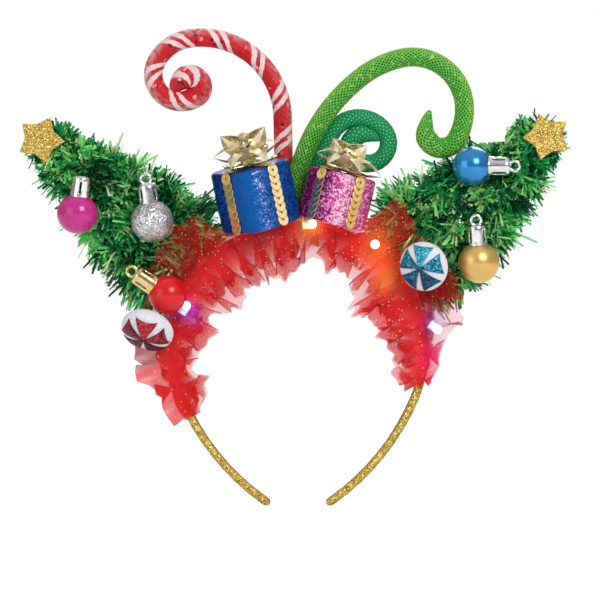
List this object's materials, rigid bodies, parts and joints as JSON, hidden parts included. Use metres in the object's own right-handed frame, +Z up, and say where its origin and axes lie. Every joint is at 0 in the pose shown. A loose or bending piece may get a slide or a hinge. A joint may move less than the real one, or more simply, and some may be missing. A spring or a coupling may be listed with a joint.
{
  "type": "light-up christmas headband",
  "caption": "Hoop headband with a gathered tulle ruffle, leaning tinsel trees with stars and balls, wrapped gifts with bows, candies, curled tubes and small lamps.",
  "frame": {"origin": "middle of the flat underside of the band's crown, where it sits on the head", "axes": "+Z up as worn, front towards -Y, +X to the right in the front view"},
  "size_m": [0.2736, 0.0653, 0.2386],
  "materials": {
    "gold_wrap": "gold glitter ribbon wound round a plastic hoop",
    "red_tulle": "sheer red net with gold glitter",
    "blue_film": "blue holographic glitter film",
    "pink_film": "pink holographic glitter film",
    "sequins": "gold sequin string",
    "bow_foil": "champagne gold foil ribbon",
    "cane_sleeve": "red braided sleeve with white spiral stripes",
    "lime_sleeve": "lime green braided sleeve",
    "green_sleeve": "green braided sleeve",
    "magenta_gloss": "glossy magenta",
    "silver_glitter": "silver glitter",
    "red_gloss": "glossy red",
    "blue_gloss": "metallic blue",
    "gold_satin": "satin gold",
    "cap_silver": "thin bright metal with slots",
    "cap_gold": "thin gold metal with slots",
    "star_glitter": "gold glitter foam",
    "green_tinsel": "metallic green film cut to tinsel",
    "candy_white": "white padded fabric",
    "teal_glitter": "teal glitter",
    "red_glitter": "dark red glitter",
    "lamp_warm": "clear lamp, lit warm white",
    "lamp_cool": "clear lamp, lit cool white"
  },
  "bodies": {
    "root": {"band": "gold_wrap", "ruffle": "red_tulle", "gift_blue": "blue_film", "gift_blue_trim": "sequins", "bow_blue": "bow_foil", "gift_pink": "pink_film", "gift_pink_trim": "sequins", "bow_pink": "bow_foil", "curl_cane": "cane_sleeve", "curl_lime": "lime_sleeve", "curl_green": "green_sleeve", "ball_magenta": "magenta_gloss", "cap_magenta": "cap_silver", "ball_silver": "silver_glitter", "cap_silver": "cap_silver", "ball_red": "red_gloss", "cap_red": "cap_gold", "ball_blue": "blue_gloss", "cap_blue": "cap_silver", "ball_gold": "gold_satin", "cap_gold": "cap_silver", "star_left": "star_glitter", "star_right": "star_glitter", "tree_left": "green_tinsel", "tree_right": "green_tinsel", "candy_blue": "candy_white", "candy_blue_petals": "teal_glitter", "candy_red": "candy_white", "candy_red_petals": "red_glitter", "led_1": "lamp_warm", "led_2": "lamp_warm", "led_3": "lamp_cool", "led_4": "lamp_cool"}
  },
  "joints": []
}
